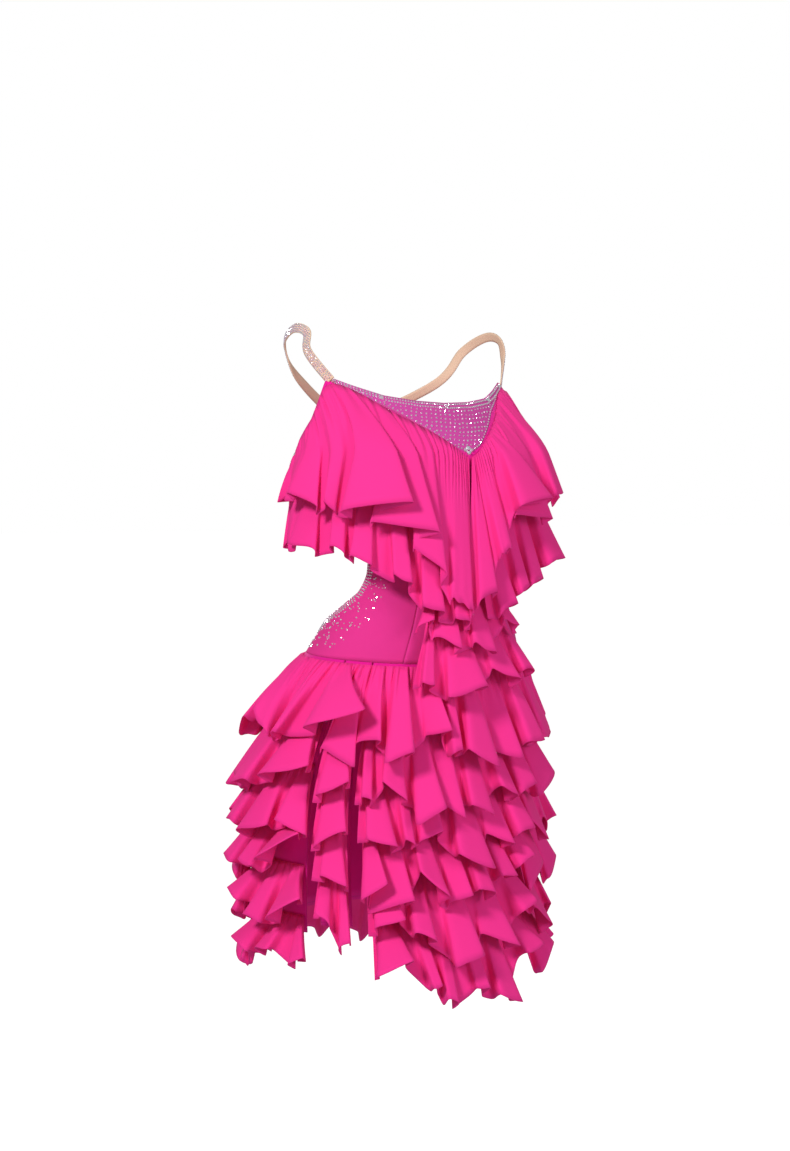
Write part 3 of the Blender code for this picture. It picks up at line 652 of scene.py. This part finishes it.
FRONT_OF_OPENING = (
    flute_table(
        (-43.8, -568, 44, -39.8, -573, 44), (-37, -550, 44, -27.5, -572, 48),
        (-25.5, -603, 56, -14.8, -583, 60), (-15.5, -577, 31, -6.5, -598, 52),
        (-4.5, -581, 48, 5.5, -601, 50), (8, -562, 50, 16.2, -577, 52),
        (18, -575, 50, 27, -562, 52),
    ), flute_table(
        (-42, -616, 50, -30.8, -629, 54), (-28.2, -622, 44, -24.4, -626, 44),
        (-22, -622, 36, -13.8, -614, 41), (-9.8, -641, 52, 4.5, -666, 58),
        (5.5, -623, 31, 14.8, -636, 52), (16.8, -625, 50, 26, -618, 52),
    ), flute_table(
        (-44, -690, 52, -34, -669, 56), (-40.8, -710, 31, -25, -694, 54),
        (-23.5, -659, 50, -13, -694, 56), (-11, -703, 36, -3.5, -691, 50),
        (-1.5, -685, 48, 6, -696, 50), (8.5, -675, 48, 16.5, -675, 50),
        (18, -664, 48, 26, -654, 52),
    ), flute_table(
        (-39.5, -728, 42, -28, -715, 46), (-26, -733, 50, -18, -743, 54),
        (-11.5, -781, 52, 0, -765, 56), (2.5, -746, 31, 16.8, -763, 56),
        (19.2, -724, 50, 27.5, -710, 52),
    ), flute_table(
        (-40, -783, 52, -26.2, -766, 56), (-18.8, -803, 44, -15.4, -801, 44),
        (-14, -818, 46, -9.4, -824, 46), (-1, -809, 40, 4, -812, 46),
        (8, -821, 48, 19, -837, 52), (21.5, -776, 50, 33, -770, 52),
    ),
)
SLIT_FLUTES = (
    flute_table((-60.5, -566, 46, -48, -549, 48)),
    flute_table((-60.5, -627, 46, -48, -607, 48)),
    flute_table((-58.5, -664, 42, -48, -674, 48)),
    flute_table((-60.5, -707, 44, -55, -722, 44), (-52.5, -752, 46, -47.8, -742, 48)),
)
RIGHT_UPPER = flute_table(
    (-93, -204, 14, -87.5, -203, 22), (-82.8, -201, 44, -67.5, -218, 44),
    (-65.5, -212, 42, -60.8, -223, 42), (-58.8, -223, 56, -30, -212, 60),
    (-47.5, -237, 37, -20.5, -247, 50), (-31, -266, 37, -18.5, -301, 46),
    (-16.5, -328, 40, -7.8, -345, 42),
)
LEFT_UPPER = flute_table(
    (-5, -333, 42, 3, -321, 44), (4.2, -276, 46, 9.5, -268, 46),
    (10.5, -216, 56, 31, -208, 60), (14, -227, 37, 38, -235, 48),
    (39, -206, 50, 50, -200, 50), (54, -210, 44, 70, -204, 42),
    (76, -206, 36, 94, -208, 30),
)
RIGHT_LOWER = flute_table(
    (-96, -262, 14, -91, -264, 20), (-87.5, -262, 30, -70.5, -271, 32),
    (-64.5, -266, 34, -57.8, -272, 34), (-56.2, -278, 34, -46.5, -287, 36),
    (-38.8, -300, 36, -31, -311, 38), (-27.5, -337, 36, -18.2, -347, 38),
    (-14, -352, 34, -7, -360, 34),
)
LEFT_LOWER = flute_table(
    (7.5, -348, 34, 16.8, -336, 36), (18.4, -324, 36, 24, -316, 36),
    (25.5, -315, 38, 35, -308, 38), (37, -290, 44, 52, -283, 54),
    (56, -284, 44, 70, -276, 38), (76, -272, 32, 94, -264, 26),
)
CASCADE_UPPER = flute_table(
    (-33, -361, 36, -25.5, -353, 38), (-23.5, -375, 28, -10.2, -390, 42),
    (-5.5, -384, 40, 6.8, -400, 44), (13.5, -358, 36, 24, -366, 38),
)
CASCADE_LOWER = flute_table(
    (-26, -430, 42, -20.5, -434, 42), (-15.8, -450, 48, 1.8, -437, 50),
    (6.5, -418, 34, 19.5, -434, 48), (22.5, -420, 42, 31, -424, 42),
)
TOP_ROW_START = -118.0


def row_seam(row, start, end, marks=25):
    """The seam of a skirt row."""
    angles = np.linspace(start, end, marks)
    return tuple(Mark(angle, float(yoke_seam(angle)) - ROW_BELOW_YOKE - row * ROW_PITCH)
                 for angle in angles)


def turned(flutes):
    """The same flutes, counted on past a whole turn."""
    return tuple(flute._replace(left=flute.left + 360, right=flute.right + 360)
                 for flute in flutes)


# ---------------------------------------------------------------- stones
Stone = namedtuple("Stone", "place normal radius")
STONE_FACETS = 8
STONE_HEIGHT = 0.75       # of a stone's radius
STONE_SEAT = 0.45         # its middle stands this share of its height outside the cloth
STONE_OUT = 0.0008        # a stone's place outside the figure, on the face of the cloth
STRAP_STONE_OUT = 0.0009
V_ROWS = 12
V_ROW_PITCH = 0.0052
EDGE_ROWS = (0.0022, 0.0056, 0.0092)   # rows of stones below the edge of the open back
EDGE_STONE_PITCH = 0.0036
SCATTERED_STONES = 240


def stone_mesh(name, stones, material, seed):
    """Flat-backed faceted stones joined into one mesh, each with its own turn and tint."""
    pick = random.Random(seed)
    joined = bmesh.new()
    tint = joined.verts.layers.float.new("tint")
    for stone in stones:
        turn = Matrix.Rotation(pick.random() * math.pi, 4, "Z")
        tilt = Matrix.Rotation((pick.random() - 0.5) * 0.25, 4, "X")
        aim = stone.normal.to_track_quat("Z", "Y").to_matrix().to_4x4()
        height = stone.radius * STONE_HEIGHT
        seat = Matrix.Translation(stone.place + stone.normal * (height * STONE_SEAT))
        made = bmesh.ops.create_cone(joined, cap_ends=True, segments=STONE_FACETS,
                                     radius1=stone.radius, radius2=stone.radius * 0.5,
                                     depth=height, matrix=seat @ aim @ tilt @ turn)
        shade = pick.random()
        for vertex in made["verts"]:
            vertex[tint] = shade
    piece = placed_mesh(name, joined, material)
    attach(piece, BODY)
    return piece


def stone_on_figure(angle, z, radius, out=STONE_OUT):
    place = figure_point(angle, z, out)
    ahead = figure_point(angle + 0.5, z, out) - place
    above = figure_point(angle, z + 0.002, out) - place
    return Stone(place, ahead.cross(above).normalized(), radius)


def neck_stones():
    """A double row under the neckline, one down each edge of the V, and rows that fill it."""
    pick = random.Random(3)
    stones = []
    for row in range(2):
        for angle in np.arange(-49.0, 49.1, 1.25):
            z = float(height_at(NECKLINE, angle)) - 0.0022 - row * 0.0042
            stones.append(stone_on_figure(angle + 0.6 * row, z, 0.0015))
    for angle in np.arange(-44.0, 44.1, 1.5):
        z = float(height_at(INSET_EDGE, angle)) + 0.0026
        stones.append(stone_on_figure(angle, z, 0.0013))
    for row in range(V_ROWS):
        drop = 0.0105 + row * V_ROW_PITCH
        for angle in np.arange(-46.0, 46.1, 2.3):
            place = angle + (1.15 if row % 2 else 0.0) + pick.uniform(-0.25, 0.25)
            z = float(height_at(NECKLINE, place)) - drop
            z -= pick.uniform(-0.0006, 0.0006)
            if z > float(height_at(INSET_EDGE, place)) + 0.0055:
                stones.append(stone_on_figure(place, z, pick.choice((0.0011, 0.0013, 0.0015))))
    for angle, z in ((0, -0.1535), (-1.6, -0.1500), (1.6, -0.1500), (0, -0.1470)):
        stones.append(stone_on_figure(angle, z, 0.0028))
    for angle in (-49.0, -30.0, 0.0, 30.0, 49.0):
        stones.append(stone_on_figure(angle, float(height_at(NECKLINE, angle)) - 0.004, 0.0030,
                                      0.0016))
    return stones


def edge_run(marks):
    """Angles and heights every few tenths of a millimetre along an edge, and their distances."""
    rows = np.array(marks, dtype=float)
    fine = np.linspace(0, len(rows) - 1, 900)
    angles = np.interp(fine, range(len(rows)), rows[:, 0])
    heights = np.interp(fine, range(len(rows)), rows[:, 1])
    steps = np.linalg.norm(np.diff(figure_points(angles, heights), axis=0), axis=1)
    return angles, heights, np.concatenate([[0.0], np.cumsum(steps)])


def edge_rows(marks):
    """Three close rows of stones below an edge."""
    angles, heights, run = edge_run(marks)
    stones = []
    for row, offset in enumerate(EDGE_ROWS):
        for distance in np.arange(0.002 + 0.0017 * row, run[-1] - 0.004, EDGE_STONE_PITCH):
            angle = float(np.interp(distance, run, angles))
            z = float(np.interp(distance, run, heights))
            ahead_angle = float(np.interp(distance + 0.002, run, angles))
            ahead_z = float(np.interp(distance + 0.002, run, heights))
            slope = Vector(((ahead_angle - angle) * METRES_PER_DEGREE, ahead_z - z)).normalized()
            stones.append(stone_on_figure(angle + slope.y * offset / METRES_PER_DEGREE,
                                          z - slope.x * offset, 0.0014))
    return stones


def cut_out_stones():
    """Close rows round the open back and a scatter that thins away from the waist cut-out."""
    pick = random.Random(8)
    marks = CUT_OUT[:-1]
    angles, heights, run = edge_run(marks)
    stones = edge_rows(marks) + edge_rows(LEFT_SCOOP)
    for _ in range(SCATTERED_STONES):
        distance = pick.uniform(0.02, run[-1] - 0.01)
        angle = float(np.interp(distance, run, angles))
        z = float(np.interp(distance, run, heights))
        away = 0.013 + 0.052 * pick.random() ** 1.8
        angle += away * 0.45 / METRES_PER_DEGREE
        z -= away * 0.8
        if angle < PRINCESS_SEAM - 6 and z > float(yoke_seam(angle)) + 0.006:
            stones.append(stone_on_figure(angle, z, pick.choice((0.0010, 0.0013))))
    return stones


# ---------------------------------------------------------------- straps
def strap_stations(side, lift):
    """Places along a strap's middle, from the neckline to the far underarm, and their lifts."""
    return (
        (figure_point(side * INSET_SIDE, -0.0655), 0.0),
        (figure_point(side * 58.0, -0.030), 0.0),
        (Vector((side * 0.151, -0.022, -0.006)), 0.0),
        (Vector((side * 0.151, 0.006, 0.0)), 0.0),
        (Vector((side * 0.140, 0.040, -0.018)), 0.0),
        (figure_point(side * 142.0, -0.060), 0.0),
        (figure_point(180.0, -0.118), lift),
        (figure_point(side * -142.0, -0.152), 0.0),
        (figure_point(side * -(UNDERARM + 2.5), -0.172), 0.0),
    )


def strap_frames(side, lift, steps):
    """Middle line, outward and sideways directions along a strap."""
    stations = strap_stations(side, lift)
    count = (len(stations) - 1) * steps
    middle = []
    for index in range(count + 1):
        place = index / steps
        first = min(int(place), len(stations) - 2)
        t = place - first
        near = [stations[min(max(first + k, 0), len(stations) - 1)] for k in (-1, 0, 1, 2)]
        point = spline(*(item[0] for item in near), t)
        raised = near[1][1] + (near[2][1] - near[1][1]) * t
        outward = point - Vector((0.0, 0.0, point.z - SHOULDER_ROLL))
        middle.append((point, outward.normalized(), STRAP_OUT + raised))
    frames = []
    for index, (point, outward, out) in enumerate(middle):
        following = middle[min(index + 1, count)][0]
        previous = middle[max(index - 1, 0)][0]
        direction = (following - previous).normalized()
        sideways = direction.cross(outward).normalized()
        facing = sideways.cross(direction).normalized()
        frames.append((point + outward * out, facing, sideways))
    return frames


def strap(name, side, lift):
    """A flat elastic from the neckline, over the shoulder, across the back to the far side."""
    frames = strap_frames(side, lift, 14)
    across = np.linspace(-0.5, 0.5, 5)
    points = np.array([[place + sideways * (share * STRAP_WIDTH) for share in across]
                       for place, _, sideways in frames])
    metres, edges = measured_maps(points)
    piece = cloth_grid(f"cloth_{name}", points, metres, edges, nude_elastic(),
                       STRAP_THICKNESS)
    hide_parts(name)


def strap_stones(side, lift):
    """Four close rows of stones on a strap's outer face."""
    frames = strap_frames(side, lift, 40)
    run = np.concatenate([[0.0], np.cumsum([(b[0] - a[0]).length
                                            for a, b in zip(frames, frames[1:])])])
    stones = []
    for row, share in enumerate((-0.36, -0.12, 0.12, 0.36)):
        for distance in np.arange(0.003 + 0.0015 * (row % 2), run[-1] - 0.003, 0.0031):
            place, facing, sideways = frames[int(np.searchsorted(run, distance))]
            spot = place + sideways * (share * STRAP_WIDTH) + facing * STRAP_STONE_OUT
            stones.append(Stone(spot, facing if facing.dot(place) > -1 else -facing, 0.0013))
    return stones


# ---------------------------------------------------------------- studio
def studio_floor():
    """A pale floor that looks evenly lit to the camera and hardly lights the cloth."""
    material, tree, shader = new_material("studio_white")
    shader.inputs["Base Color"].default_value = (0.30, 0.30, 0.30, 1.0)
    shader.inputs["Roughness"].default_value = 0.9
    glow = mix_colours(tree, node(tree, "ShaderNodeLightPath"), (0.2, 0.2, 0.2, 1.0),
                       (0.93, 0.93, 0.93, 1.0))
    feed(tree, glow, shader, "Emission Color")
    shader.inputs["Emission Strength"].default_value = 1.0
    sheet = bmesh.new()
    bmesh.ops.create_grid(sheet, x_segments=1, y_segments=1, size=FLOOR_SIZE)
    floor = placed_mesh("studio_floor", sheet, material)
    floor.location.z = FLOOR_Z


def studio_air():
    """White air: full to the camera, dimmer on the cloth."""
    world = bpy.data.worlds.new("studio_air")
    world.use_nodes = True
    tree = world.node_tree
    backdrop = tree.nodes["Background"]
    backdrop.inputs["Color"].default_value = (1, 1, 1, 1)
    seen = node(tree, "ShaderNodeLightPath")
    feed(tree, seen * (1.0 - AIR_LIGHT) + AIR_LIGHT, backdrop, "Strength")
    bpy.context.scene.world = world


def studio_lamp(row):
    light = bpy.data.lights.new(row.name, "AREA")
    light.shape = "DISK"
    light.size = row.size
    light.energy = row.power
    lamp = bpy.data.objects.new(row.name, light)
    place_aimed(lamp, row.place, LAMP_TARGET)


def studio_camera():
    lens = bpy.data.cameras.new("camera")
    lens.lens = LENS
    lens.sensor_width = 36.0
    camera = bpy.data.objects.new("camera", lens)
    place_aimed(camera, CAMERA_PLACE, CAMERA_TARGET)
    bpy.context.scene.camera = camera


def place_aimed(item, place, target):
    """Put a lamp or the camera at a place, looking at a target."""
    item.location = place
    aim = Vector(target) - Vector(place)
    item.rotation_euler = aim.to_track_quat("-Z", "Y").to_euler()
    bpy.context.scene.collection.objects.link(item)


# ---------------------------------------------------------------- properties
class DressSettings(bpy.types.PropertyGroup):
    """Sizes and colours of the dress."""
    thickness: FloatProperty(name="Cloth thickness", description="Wall of the crepe",
                             default=0.0010, unit="LENGTH")
    fineness: IntProperty(name="Rows of cloth", description="Rows from seam to hem", default=12)
    pink: FloatVectorProperty(name="Crepe", description="Colour of the flounces",
                              default=(0.82, 0.006, 0.295, 1.0), size=4, subtype="COLOR")
    yoke: FloatVectorProperty(name="Yoke", description="Colour of the stretched hip yoke",
                              default=(0.64, 0.014, 0.235, 1.0), size=4, subtype="COLOR")
    inset: FloatVectorProperty(name="Inset", description="Colour of the V inset",
                               default=(0.66, 0.034, 0.31, 1.0), size=4, subtype="COLOR")
    nude: FloatVectorProperty(name="Elastic", description="Colour of the straps",
                              default=(0.72, 0.50, 0.36, 1.0), size=4, subtype="COLOR")


def settings():
    return bpy.context.scene.dress_settings


def shared_material(name, maker, *values, **named):
    """The material of this name, made the first time it is asked for."""
    found = bpy.data.materials.get(name)
    return found or maker(name, *values, **named)


def pink_crepe():
    return shared_material("pink_crepe", crepe_material, tuple(settings().pink))


def panel_crepe():
    return shared_material("panel_crepe", crepe_material, tuple(settings().pink), stitched=True)


def yoke_crepe():
    return shared_material("yoke_crepe", crepe_material, tuple(settings().yoke), stitched=True,
                           sheen=0.15)


def inset_crepe():
    return shared_material("inset_crepe", crepe_material, tuple(settings().inset), stitched=True)


def nude_elastic():
    return shared_material("nude_elastic", elastic_material, tuple(settings().nude))


def clear_stones():
    return shared_material("clear_stones", stone_material, (0.86, 0.88, 0.95, 1.0),
                           (0.95, 0.62, 0.80, 1.0))


# ---------------------------------------------------------------- operators
class DRESS_OT_bodice(bpy.types.Operator):
    """Build the V inset and the bodice front"""
    bl_idname = "dress.bodice"
    bl_label = "Bodice"

    def execute(self, context):
        fitted_panel("neck_inset", (-INSET_SIDE, INSET_SIDE), edge(NECKLINE),
                     edge(INSET_EDGE, -INSET_TUCK), (80, 12), inset_crepe)
        fitted_panel("bodice_front", (-UNDERARM, UNDERARM), edge(BODICE_TOP),
                     edge(BODICE_BOTTOM), (160, 24), panel_crepe)
        return {"FINISHED"}


class DRESS_OT_hip_yoke(bpy.types.Operator):
    """Build the three smooth panels over the hips"""
    bl_idname = "dress.hip_yoke"
    bl_label = "Hip yoke"

    def execute(self, context):
        bottom = yoke_edge(SEAM_GAP)
        fitted_panel("hip_side_right", (-180 + PANEL_GAP, PRINCESS_SEAM - PANEL_GAP),
                     edge(CUT_OUT), bottom, (120, 24), yoke_crepe,
                     creases=YOKE_CREASES)
        fitted_panel("hip_front", (PRINCESS_SEAM, SIDE_SEAM - PANEL_GAP),
                     level_edge(BODICE_HEM - SEAM_GAP), bottom, (90, 24), yoke_crepe)
        fitted_panel("hip_back_left", (SIDE_SEAM, 180), edge(LEFT_SCOOP), bottom, (60, 24),
                     yoke_crepe)
        return {"FINISHED"}


class DRESS_OT_skirt_base(bpy.types.Operator):
    """Build the fitted skirt that carries the flounces, with its two openings"""
    bl_idname = "dress.skirt_base"
    bl_label = "Skirt base"

    def execute(self, context):
        top = yoke_edge(-SEAM_GAP)
        hem = level_edge(SKIRT_BASE_HEM)
        fitted_panel("skirt_front", (SLIT_LEFT, SIDE_SEAM - PANEL_GAP), top, hem, (90, 24),
                     panel_crepe, left=slit_opening)
        fitted_panel("skirt_back", (SIDE_SEAM, 360 + SLIT_RIGHT), top, hem, (110, 24),
                     panel_crepe, right=lambda z: -slit_opening(z))
        fitted_panel("slit_strip", (SLIT_RIGHT + STRIP_MARGIN, SLIT_LEFT - STRIP_MARGIN), top,
                     level_edge(SKIRT_BASE_HEM + STRIP_SHORTER), (12, 24), panel_crepe)
        return {"FINISHED"}


class DRESS_OT_bust_flounces(bpy.types.Operator):
    """Build two layers of flounces on each side of the V"""
    bl_idname = "dress.bust_flounces"
    bl_label = "Bust flounces"

    def execute(self, context):
        rows = settings().fineness + 4
        upper = BUST_UPPER_VALLEY
        lower = BUST_LOWER_VALLEY
        layers = (
            ("right_upper", BUST_UPPER_SEAM, RIGHT_UPPER, Ends(11.0, -7.0, 0.008, upper)),
            ("left_upper", mirrored(BUST_UPPER_SEAM), LEFT_UPPER, Ends(-9.5, -1.0, 0.026, 0.010)),
            ("right_lower", BUST_LOWER_SEAM, RIGHT_LOWER, Ends(7.0, -3.0, 0.008, lower)),
            ("left_lower", mirrored(BUST_LOWER_SEAM), LEFT_LOWER, Ends(2.0, -1.0, lower, 0.008)),
        )
        for index, (name, seam, flutes, ends) in enumerate(layers):
            above = index < 2
            flounce(f"bust_flounce_{name}", seam, flutes, rows, upper if above else lower, ends,
                    BUST_DEPTH, hang_from=BUST_Z, seed=1.0 + index, passes=3,
                    power=BUST_POWER if above else RIDGE_POWER)
        return {"FINISHED"}


class DRESS_OT_cascade(bpy.types.Operator):
    """Build the two flounces at the centre front"""
    bl_idname = "dress.cascade"
    bl_label = "Cascade"

    def execute(self, context):
        rows = settings().fineness
        valley = CASCADE_VALLEY
        flounce("cascade_upper", CASCADE_UPPER_SEAM, CASCADE_UPPER, rows, valley,
                Ends(-9.0, 4.0, valley, valley), CASCADE_DEPTH, seed=5.0, passes=3)
        flounce("cascade_lower", CASCADE_LOWER_SEAM, CASCADE_LOWER, rows, valley,
                Ends(-4.0, 2.0, valley, valley), CASCADE_DEPTH, seed=6.0, passes=3)
        return {"FINISHED"}


class DRESS_OT_skirt_flounces(bpy.types.Operator):
    """Build the six rows of skirt flounces"""
    bl_idname = "dress.skirt_flounces"
    bl_label = "Skirt flounces"

    def execute(self, context):
        rows = settings().fineness
        first = TOP_ROW_START
        top = TOP_ROW + back_flutes(TOP_ROW[-1].right + FLUTE_GAP, first + 360, 0, 0.4)
        flounce("skirt_flounce_1", row_seam(0, first, first + 360), top, rows,
                ends=Ends(0.0, 0.0, VALLEY, VALLEY), closed=True, seed=7.0,
                power=TOP_ROW_POWER, gather=TOP_ROW_GATHER)
        for row in range(1, ROW_COUNT):
            opening = float(slit_opening(YOKE_SEAM_SIDE - row * ROW_PITCH))
            start = SLIT_LEFT + opening + ROW_INSET
            end = 360 + SLIT_RIGHT - opening - ROW_INSET
            front = FRONT_OF_OPENING[row - 1]
            side = turned(LEFT_OF_OPENING[row - 1])
            behind = back_flutes(front[-1].right + FLUTE_GAP, side[0].left - FLUTE_GAP, row, row)
            flounce(f"skirt_flounce_{row + 1}", row_seam(row, start, end),
                    front + behind + side, rows, seed=7.0 + row)
        return {"FINISHED"}


class DRESS_OT_slit_flounces(bpy.types.Operator):
    """Build the short flounces on the strip between the two openings"""
    bl_idname = "dress.slit_flounces"
    bl_label = "Slit flounces"

    def execute(self, context):
        for row, flutes in enumerate(SLIT_FLUTES):
            top = SLIT_FLOUNCE_TOP - ROW_PITCH * row
            seam = (Mark(SLIT_RIGHT + STRIP_INSET, top), Mark(SLIT_LEFT - STRIP_INSET, top))
            flounce(f"slit_flounce_{row + 1}", seam, flutes, settings().fineness,
                    seed=14.0 + row, passes=3)
        return {"FINISHED"}


class DRESS_OT_straps(bpy.types.Operator):
    """Build the crossed straps and the stones that cover them"""
    bl_idname = "dress.straps"
    bl_label = "Straps"

    def execute(self, context):
        for name, side, lift in (("right", -1, 0.0), ("left", 1, STRAP_CROSSING_LIFT)):
            strap(f"strap_{name}", side, lift)
            stone_mesh(f"stones_strap_{name}", strap_stones(side, lift), clear_stones(),
                       20 + side)
        return {"FINISHED"}


class DRESS_OT_stones(bpy.types.Operator):
    """Set the stones on the V inset and along the waist cut-out"""
    bl_idname = "dress.stones"
    bl_label = "Stones"

    def execute(self, context):
        stone_mesh("stones_neck", neck_stones(), clear_stones(), 31)
        stone_mesh("stones_cut_out", cut_out_stones(), clear_stones(), 32)
        return {"FINISHED"}


class DRESS_OT_stage(bpy.types.Operator):
    """Build the pale studio, its soft lights and the camera"""
    bl_idname = "dress.stage"
    bl_label = "Studio"

    def execute(self, context):
        studio_floor()
        studio_air()
        for lamp in LAMPS:
            studio_lamp(lamp)
        studio_camera()
        context.scene.view_settings.view_transform = "Standard"
        return {"FINISHED"}


class DRESS_PT_panel(bpy.types.Panel):
    """Lists the pieces of the dress"""
    bl_idname = "DRESS_PT_panel"
    bl_label = "Rumba dance dress"
    bl_space_type = "VIEW_3D"
    bl_region_type = "UI"
    bl_category = "Dress"

    def draw(self, context):
        column = self.layout.column()
        for name in ("thickness", "fineness", "pink", "yoke", "inset", "nude"):
            column.prop(context.scene.dress_settings, name)
        for operator in OPERATORS:
            column.operator(operator.bl_idname)


OPERATORS = (DRESS_OT_bodice, DRESS_OT_hip_yoke, DRESS_OT_skirt_base, DRESS_OT_bust_flounces,
             DRESS_OT_cascade, DRESS_OT_skirt_flounces, DRESS_OT_slit_flounces,
             DRESS_OT_straps, DRESS_OT_stones, DRESS_OT_stage)
CLASSES = (DressSettings, *OPERATORS, DRESS_PT_panel)


def register():
    for item in CLASSES:
        bpy.utils.register_class(item)
    bpy.types.Scene.dress_settings = PointerProperty(type=DressSettings)


def unregister():
    del bpy.types.Scene.dress_settings
    for item in reversed(CLASSES):
        bpy.utils.unregister_class(item)


def main():
    register()
    bpy.ops.dress.bodice()
    bpy.ops.dress.hip_yoke()
    bpy.ops.dress.skirt_base()
    bpy.ops.dress.bust_flounces()
    bpy.ops.dress.cascade()
    bpy.ops.dress.skirt_flounces()
    bpy.ops.dress.slit_flounces()
    bpy.ops.dress.straps()
    bpy.ops.dress.stones()
    bpy.ops.dress.stage()


if __name__ == "__main__":
    main()
